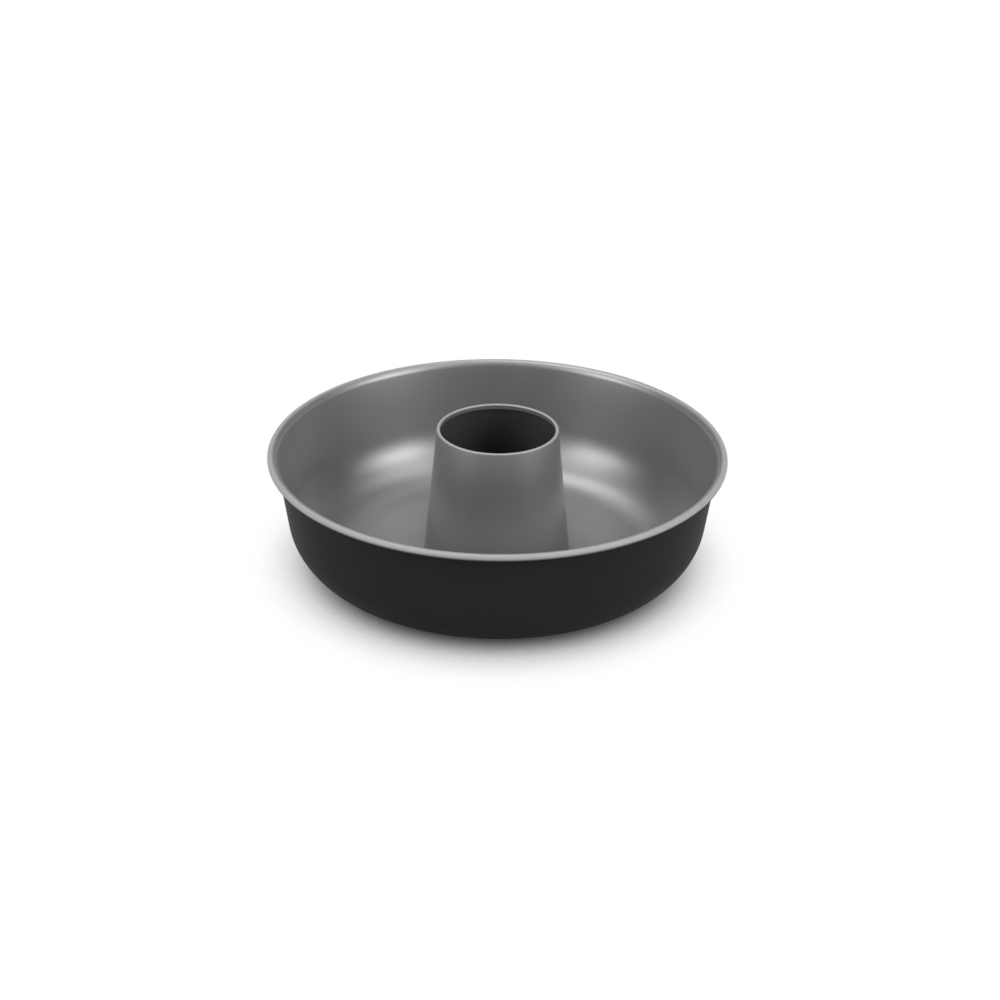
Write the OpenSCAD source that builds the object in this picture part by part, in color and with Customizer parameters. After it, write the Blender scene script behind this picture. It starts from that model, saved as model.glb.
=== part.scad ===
// Ring cake pan with a tall centre tube, in millimetres.
// Two pieces of steel sheet, coated grey on one face and black on the other:
// a drawn pan body with a rolled rim, and a conical tube that stands in the
// hole of its floor and is clenched there.
// The origin is on the axis, on the plane that the pan stands on. +Z is up.

/* [Pan body] */
// Diameter over the rolled rim
rim_d = 260; // [200:1:320]
// Height of the pan, from the table to the top of the rim
pan_h = 69; // [55:0.5:90]
// Lean of the wall, in degrees from upright
wall_lean = 7.7; // [2:0.1:14]
// Outside radius of the corner between the wall and the floor
corner_r = 33; // [10:1:40]
// Thickness of the steel sheet of both pieces
sheet_t = 0.6; // [0.4:0.05:0.8]

/* [Rolled rim] */
// Radius of the flare that leads the wall into the top of the rim
flare_r = 4.2; // [2.2:0.1:6]
// Radius of the roll round the outside of the rim
roll_r = 1.8; // [1.5:0.05:2.2]
// Turn of the roll past its lowest point, in degrees
roll_tuck = 60; // [0:5:70]

/* [Centre tube] */
// Height of the tube, from the table to its top edge
tube_h = 80.5; // [55:0.5:110]
// Diameter over the hem at the top of the tube
tube_top_d = 69; // [50:1:76]
// Diameter of the tube where it stands on the floor
tube_foot_d = 85; // [78:1:110]
// Outside radius of the hem at the top of the tube
hem_r = 1.1; // [0.9:0.05:1.6]
// Length of the hem's straight leg inside the tube
hem_leg = 2; // [0.5:0.1:5]

/* [Seam at the floor] */
// Outside radius of the bend from the tube's wall to its flange
foot_bend_r = 1; // [0.9:0.05:2]
// Length of the floor's edge that is folded back over the flange
seam_w = 2.6; // [1.5:0.1:6]
// Play of the two cut edges inside the seam
seam_play = 0.2; // [0.1:0.05:0.4]

/* [Hidden] */

body_black = [0.13, 0.13, 0.13];
tube_grey = [0.44, 0.44, 0.43];

// Facets: the widest turn and the longest run of one facet of a bend, and the
// number round the axis
facet_turn = 10;
facet_run = 1.5;
axis_fn = 180;

// Directions in the section, in degrees from outwards
up = 90;
inwards = 180;
down = 270;

// The rim's two arcs meet at its top, so their centres are one above the other
flare_c = [rim_d / 2 - roll_r, pan_h - flare_r];
roll_c = [flare_c.x, pan_h - roll_r];

// The corner's arc is tangent to the floor, and to the wall that the flare ends in
wall_rise = flare_c.y - corner_r;
wall_run = (corner_r + flare_r - sheet_t + wall_rise * sin(wall_lean)) / cos(wall_lean);
corner_c = [flare_c.x - wall_run, corner_r];

// The tube's wall is tangent to the hem at its top and to the bend at its foot
hem_c = [tube_top_d / 2 - hem_r, tube_h - hem_r];
foot_c = [tube_foot_d / 2 - foot_bend_r, sheet_t + foot_bend_r];
tube_fall = foot_c - hem_c;
tube_lean = atan2(tube_fall.y, tube_fall.x) + acos((hem_r - foot_bend_r) / norm(tube_fall));
leg_fall = hem_leg * [sin(tube_lean), -cos(tube_lean)];

// The floor's edge is folded tight round the flange, which is one sheet thick
fold_in_r = sheet_t / 2;
fold_out_r = fold_in_r + sheet_t;
seam_end = foot_c.x - seam_play;
fold_c = [seam_end - seam_w, fold_out_r];
flange_end = fold_c.x + seam_play;

// A sheet's section is a list of bends, with straight sheet between each and
// the next. A bend is its centre, the radii of its black and its grey face,
// and the directions that it turns from and to. A cut edge is a bend that
// doesn't turn.
function bend(centre, black_r, grey_r, from, to) = [centre, [black_r, grey_r], from, to];
function cut_edge(centre, black_r, grey_r, at) = bend(centre, black_r, grey_r, at, at);

function facets(turn, radius) = ceil(max(turn / facet_turn, turn * PI / 180 * radius / facet_run));

function arc(centre, radius, from, to) =
    let (n = facets(abs(to - from), radius))
    n == 0
        ? [centre + radius * [cos(from), sin(from)]]
        : [for (i = [0 : n])
            let (at = from + (to - from) * i / n)
            centre + radius * [cos(at), sin(at)]];

function face(bends, side) = [for (b = bends) each arc(b[0], b[1][side], b[2], b[3])];

function backwards(points) = [for (i = [len(points) - 1 : -1 : 0]) points[i]];

// Sheet turned about the axis: its black face out, its grey face back
module turned_sheet(bends) {
    black = face(bends, 0);
    grey = face(bends, 1);
    rotate_extrude($fn = axis_fn)
        polygon(concat(black, backwards(grey)));
}

// Pan: edge clenched round the tube's flange, floor, wide corner, leaning wall,
// then the flare and the roll of the rim, which show the grey face
module pan_body() {
    color(body_black)
        turned_sheet([
            cut_edge([seam_end, fold_c.y], fold_out_r, fold_in_r, up),
            bend(fold_c, fold_out_r, fold_in_r, up, down),
            bend(corner_c, corner_r, corner_r - sheet_t, -up, -wall_lean),
            bend(flare_c, flare_r - sheet_t, flare_r, inwards - wall_lean, up),
            bend(roll_c, roll_r - sheet_t, roll_r, up, -up - roll_tuck),
        ]);
}

// Tube: flange in the floor's fold, bend at the foot, leaning wall, then the
// hem, whose leg hangs inside the tube
module centre_tube() {
    color(tube_grey)
        turned_sheet([
            cut_edge([flange_end, foot_c.y], foot_bend_r - sheet_t, foot_bend_r, -up),
            bend(foot_c, foot_bend_r - sheet_t, foot_bend_r, -up, tube_lean),
            bend(hem_c, hem_r - sheet_t, hem_r, tube_lean, inwards + tube_lean),
            cut_edge(hem_c + leg_fall, hem_r - sheet_t, hem_r, inwards + tube_lean),
        ]);
}

pan_body();
centre_tube();
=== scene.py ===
"""Looks of the ring cake pan: two coated steel sheets, a camera, a white floor and soft light."""

import math
from collections import namedtuple

import bmesh
import bpy
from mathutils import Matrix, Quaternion, Vector


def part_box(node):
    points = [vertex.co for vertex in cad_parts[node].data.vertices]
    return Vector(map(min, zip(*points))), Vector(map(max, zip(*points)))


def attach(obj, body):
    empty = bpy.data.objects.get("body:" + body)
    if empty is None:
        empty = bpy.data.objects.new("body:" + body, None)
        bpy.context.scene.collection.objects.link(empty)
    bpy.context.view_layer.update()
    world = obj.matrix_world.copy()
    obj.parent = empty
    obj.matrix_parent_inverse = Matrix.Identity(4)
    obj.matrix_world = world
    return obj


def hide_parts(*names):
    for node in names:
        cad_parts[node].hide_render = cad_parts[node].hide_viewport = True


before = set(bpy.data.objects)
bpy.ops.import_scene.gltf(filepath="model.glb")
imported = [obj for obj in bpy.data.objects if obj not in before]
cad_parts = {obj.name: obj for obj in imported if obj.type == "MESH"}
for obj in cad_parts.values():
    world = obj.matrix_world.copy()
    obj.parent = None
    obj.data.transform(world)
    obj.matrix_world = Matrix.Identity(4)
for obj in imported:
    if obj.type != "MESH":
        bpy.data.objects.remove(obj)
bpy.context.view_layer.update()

MM = 0.001

scene = bpy.context.scene

# The camera: the photo's angle, from a metre off, leaning a little
camera_range = 1.04
camera_elevation = math.radians(25.33)
camera_roll = math.radians(0.65)
camera_lens = 65.95
camera_aim = Vector((0.0017, 0, 0.0349))
camera_sees_to = 100

pan_low, pan_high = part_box("pan_body")
tube_low, tube_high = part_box("centre_tube")
rim_centre = Vector((0, 0, pan_high.z))

# Sizes of the two sheets, as the CAD model has them. Only the hem's radius
# differs: it is as tight as the photo shows it, and 1.1 mm in the CAD model.
sheet_t = 0.6 * MM
wall_lean = math.radians(7.7)
corner_r = 33 * MM
flare_r = 4.2 * MM
roll_r = 1.8 * MM
roll_tuck = math.radians(60)
tube_top_r = 34.5 * MM
hem_r = 0.9 * MM
hem_leg = 2 * MM
foot_bend_r = 1 * MM
seam_w = 2.6 * MM
seam_play = 0.2 * MM

# Fineness of the meshes: the widest turn and the longest run of one facet of a
# bend, the longest run of a straight stretch, and the facets round the axis
facet_turn = math.radians(6)
facet_run = 1.2 * MM
straight_run = 4 * MM
axis_steps = 192
weld = 0.001 * MM
sharp_angle = math.radians(50)

# The floor reaches past the horizon of every view. Its shadow is how far the
# pan closes it in within this reach, and ends where this much of it is open.
# Each place on it is tried with this many rays.
floor_reach = 40
floor_color = (0.5, 0.5, 0.5, 1)
shadow_color = (0.015, 0.009, 0.01, 1)
shadow_reach = 45 * MM
white_from = 0.82
shadow_rays = 8

# The soft lights: which way from the pan and how high, how many degrees wide and
# high as the pan sees them, and how much brighter than white. All have the same
# cool tint and are as far off.
SOFTBOXES = [
    ("left_low", 210, 10, 28, 20, 2.7),
    ("left_middle", 208, 30, 28, 20, 4.8),
    ("left_high", 205, 50, 28, 20, 2.5),
    ("right_low", 330, 10, 28, 20, 3.3),
    ("right_middle", 333, 30, 28, 20, 5.9),
    ("right_high", 335, 50, 28, 20, 1.9),
    ("back_high", 115, 67, 30, 27, 4.6),
    ("front_high", 270, 65, 44, 25, 0.7),
    ("left_side", 175, 62, 26, 26, 1.1),
    ("right_side", 5, 62, 26, 26, 2.2),
]
light_tint = (0.975, 0.985, 1)
light_range = 20

# The studio's walls: white up to one height and dim from another, as sines of
# the elevation, and how bright the dim part is
white_up_to = 0.02
dark_from = 0.2
sky_strength = 0.03

# Directions in a section, from outwards
UP = math.pi / 2
INWARDS = math.pi
DOWN = 3 * math.pi / 2

# A bend of a sheet: its centre, the radii of its black and its grey face, and
# the directions that it turns from and to
Bend = namedtuple("Bend", "centre black grey start end")

# A coat: its two tones, how metallic, rough and specular it is, how high its
# orange peel stands, and how far its flakes change the tone
Coat = namedtuple("Coat", "tone light_tone metallic roughness specular peel_height flake")
satin_grey = Coat((0.293, 0.287, 0.28, 1), (0.361, 0.354, 0.346, 1), 0.6, 0.38, 0.5, 0.02 * MM, 0.5)
matt_black = Coat((0.02, 0.02, 0.02, 1), (0.027, 0.0268, 0.0265, 1), 0.0, 0.5, 0.02, 0.03 * MM, 0.3)
# The black coat made lighter for the tube's inside: painted light in the bore.
lit_black = Coat((0.055, 0.055, 0.054, 1), (0.075, 0.075, 0.074, 1), 0.0, 0.5, 0.0, 0.03 * MM, 0.3)

# Patterns of every coat, in waves a metre, and how far they change tone and gloss
cloud_scale = 22
flake_scale = 2600
peel_scale = 520
cloud_tone = 0.7
cloud_gloss = 0.06
flake_gloss = 0.05

# The grey coat over the rolled rim and the hem: its tone there, how much of it
# shows, how much the flakes change that, how metallic and how much rougher it is
edge_tone = (0.385, 0.383, 0.379, 1)
edge_cover = 0.9
edge_flake = 0.4
edge_metallic = 0.1
edge_roughening = 0.2

# Where the roll's underside turns to the black tone, partly the black coat's edge
# and partly painted shade under the bead: from its start to where it covers, in
# roll radii below the top of the rim
shaded_lap_start = 0.75
shaded_lap_full = 1.65

# Bare steel at the cut edges
steel_tone = (0.42, 0.41, 0.40, 1)
steel_roughness = 0.4
grain_scale = 900
grain_gloss = 0.2


def place_camera():
    data = bpy.data.cameras.new("camera")
    camera = bpy.data.objects.new("camera", data)
    scene.collection.objects.link(camera)
    scene.camera = camera
    data.lens = camera_lens
    data.clip_end = camera_sees_to
    level = math.cos(camera_elevation) * camera_range
    rise = math.sin(camera_elevation) * camera_range
    camera.location = rim_centre + Vector((0, -level, rise))
    look = (camera_aim - camera.location).to_track_quat("-Z", "Y")
    camera.rotation_mode = "QUATERNION"
    camera.rotation_quaternion = look @ Quaternion((0, 0, 1), camera_roll)


def cut_edge(centre, black, grey, at):
    return Bend(centre, black, grey, at, at)


def on_bend(bend, side, at):
    radius = getattr(bend, side)
    out, up = bend.centre
    return Vector((out + radius * math.cos(at), 0, up + radius * math.sin(at)))


def draw_straight(wire, last, end):
    """Extrudes a wire from its last vertex straight to the place end. Gives the new last vertex."""
    steps = math.ceil((end - last.co).length / straight_run)
    step = (end - last.co) / steps
    for _ in range(steps):
        last = bmesh.ops.extrude_vert_indiv(wire, verts=[last])["verts"][0]
        bmesh.ops.translate(wire, verts=[last], vec=step)
    return last


def draw_bend(wire, last, bend, side):
    """Spins a wire's last vertex round a bend. Gives the new last vertex."""
    turn = bend.end - bend.start
    steps = math.ceil(max(abs(turn) / facet_turn, abs(turn) * getattr(bend, side) / facet_run))
    if not steps:
        return last
    spun = bmesh.ops.spin(wire, geom=[last], cent=(bend.centre[0], 0, bend.centre[1]),
                          axis=(0, -1, 0), angle=turn, steps=steps)
    return next(part for part in spun["geom_last"] if isinstance(part, bmesh.types.BMVert))


def draw_face(wire, bends, side):
    """One face of a sheet as a wire in the plane y = 0: its bends and the straight sheet between."""
    last = wire.verts.new(on_bend(bends[0], side, bends[0].start))
    for bend in bends:
        start = on_bend(bend, side, bend.start)
        if (start - last.co).length > weld:
            last = draw_straight(wire, last, start)
        last = draw_bend(wire, last, bend, side)


def draw_cut(wire, bend, at):
    """The cut edge of a sheet as a wire, from its black face to its grey face."""
    ends = [wire.verts.new(on_bend(bend, side, at)) for side in ("black", "grey")]
    wire.edges.new(ends)


def turn_about_axis(whole, draw, material_index, *details):
    """Draws a wire, turns it about the axis and adds the surface to whole."""
    wire = bmesh.new()
    draw(wire, *details)
    bmesh.ops.spin(wire, geom=wire.verts[:] + wire.edges[:], cent=(0, 0, 0), axis=(0, 0, 1),
                   angle=2 * math.pi, steps=axis_steps, use_merge=True)
    for face in wire.faces:
        face.material_index = material_index
        face.smooth = True
    part = bpy.data.meshes.new("part")
    wire.to_mesh(part)
    wire.free()
    whole.from_mesh(part)
    bpy.data.meshes.remove(part)


def turned_sheet(name, bends, materials):
    """A closed sheet turned about the axis. Its materials: grey face, black face, cut edges."""
    whole = bmesh.new()
    turn_about_axis(whole, draw_face, 0, bends, "grey")
    turn_about_axis(whole, draw_face, 1, bends, "black")
    turn_about_axis(whole, draw_cut, 2, bends[0], bends[0].start)
    turn_about_axis(whole, draw_cut, 2, bends[-1], bends[-1].end)
    bmesh.ops.remove_doubles(whole, verts=whole.verts[:], dist=weld)
    bmesh.ops.recalc_face_normals(whole, faces=whole.faces[:])
    for edge in whole.edges:
        edge.smooth = edge.calc_face_angle(0) < sharp_angle
    mesh = bpy.data.meshes.new(name)
    whole.to_mesh(mesh)
    whole.free()
    for material in materials:
        mesh.materials.append(material)
    piece = bpy.data.objects.new(name, mesh)
    scene.collection.objects.link(piece)
    return piece


def make_pan(materials):
    """Drawn pan: folded edge of the hole, floor, wide corner, leaning wall, flare and roll."""
    flare_c = (pan_high.x - roll_r, pan_high.z - flare_r)
    roll_c = (flare_c[0], pan_high.z - roll_r)
    wall_rise = flare_c[1] - corner_r
    wall_run = (corner_r + flare_r - sheet_t + wall_rise * math.sin(wall_lean)) / math.cos(wall_lean)
    corner_c = (flare_c[0] - wall_run, corner_r)
    fold_in = sheet_t / 2
    fold_out = fold_in + sheet_t
    seam_end = tube_high.x - foot_bend_r - seam_play
    fold_c = (seam_end - seam_w, fold_out)
    bends = [
        cut_edge((seam_end, fold_c[1]), fold_out, fold_in, UP),
        Bend(fold_c, fold_out, fold_in, UP, DOWN),
        Bend(corner_c, corner_r, corner_r - sheet_t, -UP, -wall_lean),
        Bend(flare_c, flare_r - sheet_t, flare_r, INWARDS - wall_lean, UP),
        Bend(roll_c, roll_r - sheet_t, roll_r, UP, -UP - roll_tuck),
    ]
    return turned_sheet("pan_sheet", bends, materials)


def make_tube(materials):
    """Conical tube: flange in the floor's fold, bend at the foot, leaning wall and hem."""
    hem_c = (tube_top_r - hem_r, tube_high.z - hem_r)
    foot_c = (tube_high.x - foot_bend_r, sheet_t + foot_bend_r)
    run = foot_c[0] - hem_c[0]
    fall = foot_c[1] - hem_c[1]
    lean = math.atan2(fall, run) + math.acos((hem_r - foot_bend_r) / math.hypot(run, fall))
    leg_end = (hem_c[0] + hem_leg * math.sin(lean), hem_c[1] - hem_leg * math.cos(lean))
    flange_end = foot_c[0] - seam_w
    bends = [
        cut_edge((flange_end, foot_c[1]), foot_bend_r - sheet_t, foot_bend_r, -UP),
        Bend(foot_c, foot_bend_r - sheet_t, foot_bend_r, -UP, lean),
        Bend(hem_c, hem_r - sheet_t, hem_r, lean, INWARDS + lean),
        cut_edge(leg_end, hem_r - sheet_t, hem_r, INWARDS + lean),
    ]
    return turned_sheet("tube_sheet", bends, materials)


class Signal:
    """A shader socket. Python's operators on it add Math nodes."""

    def __init__(self, graph, socket):
        self.graph = graph
        self.socket = socket

    def math(self, operation, first, second):
        return self.graph.add("ShaderNodeMath", {"operation": operation}, {0: first, 1: second})

    def __add__(self, other):
        return self.math("ADD", self, other)

    def __radd__(self, other):
        return self.math("ADD", other, self)

    def __sub__(self, other):
        return self.math("SUBTRACT", self, other)

    def __rsub__(self, other):
        return self.math("SUBTRACT", other, self)

    def __mul__(self, other):
        return self.math("MULTIPLY", self, other)

    def __rmul__(self, other):
        return self.math("MULTIPLY", other, self)


class Graph:
    """A node tree of a material or the world."""

    def __init__(self, owner):
        owner.use_nodes = True
        self.tree = owner.node_tree
        self.tree.nodes.clear()

    def add(self, kind, settings=None, inputs=None, output=0):
        """A node of one kind: its settings first, then the values or links of its sockets."""
        node = self.tree.nodes.new(kind)
        for name, value in (settings or {}).items():
            setattr(node, name, value)
        for name, value in (inputs or {}).items():
            if isinstance(value, Signal):
                self.tree.links.new(value.socket, node.inputs[name])
            else:
                node.inputs[name].default_value = value
        return Signal(self, node.outputs[output]) if node.outputs else None

    def position(self):
        return self.add("ShaderNodeTexCoord", output="Object")

    def noise(self, scale, detail=2):
        """Noise about zero, from -0.5 to 0.5, with scale in waves a metre."""
        inputs = {"Vector": self.position(), "Scale": scale, "Detail": detail}
        return self.add("ShaderNodeTexNoise", None, inputs) - 0.5

    def mix(self, share, first, second):
        """One colour at share 0, the other at share 1."""
        return self.add("ShaderNodeMix", {"data_type": "RGBA"}, {0: share, 6: first, 7: second}, 2)

    def rise(self, value, start, end, low=0.0, high=1.0):
        """A smooth step from low to high while value goes from start to end."""
        inputs = {"Value": value, "From Min": start, "From Max": end, "To Min": low, "To Max": high}
        return self.add("ShaderNodeMapRange", {"interpolation_type": "SMOOTHSTEP"}, inputs)


def coating(name, coat, over_edges=False):
    """A baked coat on sheet steel: two tones in soft clouds and fine flakes, with an orange peel."""
    material = bpy.data.materials.new(name)
    graph = Graph(material)
    clouds = graph.noise(cloud_scale, 3)
    flakes = graph.noise(flake_scale, 1)
    tone = 0.5 + clouds * cloud_tone + flakes * coat.flake
    shade = graph.mix(tone, coat.tone, coat.light_tone)
    gloss = coat.roughness + clouds * cloud_gloss + flakes * flake_gloss
    metallic = coat.metallic
    if over_edges:
        edges, shaded_lap = rolled_edges(graph)
        shade = graph.mix(edges * (edge_cover + flakes * edge_flake), shade, edge_tone)
        # Black tone and no metal on the roll's underside: partly the black coat's edge, partly painted
        # shade under the bead.
        shade = graph.mix(shaded_lap, shade, matt_black.tone)
        gloss = gloss + edges * edge_roughening
        metallic = (metallic - edges * (metallic - edge_metallic)) * (1 - shaded_lap)
    peel = {"Height": graph.noise(peel_scale), "Strength": 1.0, "Distance": coat.peel_height}
    bump = graph.add("ShaderNodeBump", None, peel, "Normal")
    shader = graph.add("ShaderNodeBsdfPrincipled", None, {
        "Base Color": shade,
        "Metallic": metallic,
        "Roughness": gloss,
        "Specular IOR Level": coat.specular,
        "Normal": bump,
    })
    graph.add("ShaderNodeOutputMaterial", None, {"Surface": shader})
    return material


def rolled_edges(graph):
    """Where the rolled rim and the tube's hem are, and where the roll's underside takes the black
    tone: partly the black coat's edge, partly painted shade under the bead.
    """
    place = graph.position()
    height = graph.add("ShaderNodeSeparateXYZ", None, {"Vector": place}, "Z")
    flat = graph.add("ShaderNodeVectorMath", {"operation": "MULTIPLY"}, {0: place, 1: (1, 1, 0)})
    radius = graph.add("ShaderNodeVectorMath", {"operation": "LENGTH"}, {0: flat}, "Value")
    rim = graph.rise(radius, pan_high.x - flare_r, pan_high.x - roll_r)
    hem = graph.rise(height, tube_high.z - hem_r, tube_high.z - hem_r / 2)
    roll = graph.rise(radius, pan_high.x - 2 * roll_r, pan_high.x - 1.5 * roll_r)
    shaded_lap_top = pan_high.z - shaded_lap_start * roll_r
    shaded_lap_low = pan_high.z - shaded_lap_full * roll_r
    return rim + hem, roll * graph.rise(height, shaded_lap_low, shaded_lap_top, 1.0, 0.0)


def bare_steel():
    """The cut edge of the sheet, where the coats end."""
    material = bpy.data.materials.new("bare_steel")
    graph = Graph(material)
    shader = graph.add("ShaderNodeBsdfPrincipled", None, {
        "Base Color": steel_tone,
        "Metallic": 1.0,
        "Roughness": steel_roughness + graph.noise(grain_scale) * grain_gloss,
    })
    graph.add("ShaderNodeOutputMaterial", None, {"Surface": shader})
    return material


def make_floor():
    """A floor that shows white, as the studio does, and keeps the pan's soft shadow."""
    material = bpy.data.materials.new("floor_white")
    graph = Graph(material)
    openness = graph.add("ShaderNodeAmbientOcclusion", {"samples": shadow_rays},
                         {"Distance": shadow_reach}, "AO")
    shade = graph.mix(graph.rise(openness, 0, white_from), shadow_color, (1, 1, 1, 1))
    shown = graph.add("ShaderNodeEmission", None, {"Color": shade})
    lit = graph.add("ShaderNodeBsdfDiffuse", None, {"Color": floor_color})
    ray = {name: graph.add("ShaderNodeLightPath", output=name)
           for name in ("Is Camera Ray", "Is Glossy Ray", "Is Transmission Ray")}
    seen = ray["Is Camera Ray"] + ray["Is Glossy Ray"] + ray["Is Transmission Ray"]
    surface = graph.add("ShaderNodeMixShader", None, {0: seen, 1: lit, 2: shown})
    graph.add("ShaderNodeOutputMaterial", None, {"Surface": surface})
    shape = bmesh.new()
    bmesh.ops.create_grid(shape, x_segments=1, y_segments=1, size=floor_reach)
    mesh = bpy.data.meshes.new("floor")
    shape.to_mesh(mesh)
    shape.free()
    mesh.materials.append(material)
    floor = bpy.data.objects.new("floor", mesh)
    scene.collection.objects.link(floor)


def make_world():
    """A studio that is white round the horizon and darker overhead, where the soft lights are."""
    world = bpy.data.worlds.new("studio")
    scene.world = world
    graph = Graph(world)
    direction = graph.add("ShaderNodeTexCoord", output="Generated")
    height = graph.add("ShaderNodeSeparateXYZ", None, {"Vector": direction}, "Z")
    strength = graph.rise(height, white_up_to, dark_from, 1.0, sky_strength)
    background = graph.add("ShaderNodeBackground", None, {"Color": (1, 1, 1, 1), "Strength": strength})
    graph.add("ShaderNodeOutputWorld", None, {"Surface": background})


def softbox(name, azimuth, elevation, wide, high, brightness):
    """A soft light far off, so many degrees wide and high, and so much brighter than white."""
    data = bpy.data.lights.new(name, "AREA")
    data.shape = "RECTANGLE"
    data.size = 2 * light_range * math.tan(math.radians(wide / 2))
    data.size_y = 2 * light_range * math.tan(math.radians(high / 2))
    data.energy = brightness * math.pi * data.size * data.size_y
    data.color = light_tint
    lamp = bpy.data.objects.new(name, data)
    turn = math.radians(azimuth)
    rise = math.radians(elevation)
    away = Vector((math.cos(turn) * math.cos(rise), math.sin(turn) * math.cos(rise), math.sin(rise)))
    lamp.location = away * light_range
    lamp.rotation_mode = "QUATERNION"
    lamp.rotation_quaternion = away.to_track_quat("Z", "Y")
    scene.collection.objects.link(lamp)


place_camera()
grey_coat = coating("grey_coat", satin_grey, over_edges=True)
black_coat = coating("black_coat", matt_black)
steel = bare_steel()
# The tube's inside takes a lighter copy of the black coat, as painted light.
lit_inner_coat = coating("lit_inner_coat", lit_black)
pan = make_pan((grey_coat, black_coat, steel))
tube = make_tube((grey_coat, lit_inner_coat, steel))
for piece, node in ((pan, "pan_body"), (tube, "centre_tube")):
    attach(piece, "root")
    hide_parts(node)
make_floor()
make_world()
for box in SOFTBOXES:
    softbox(*box)

scene.view_settings.view_transform = "Standard"
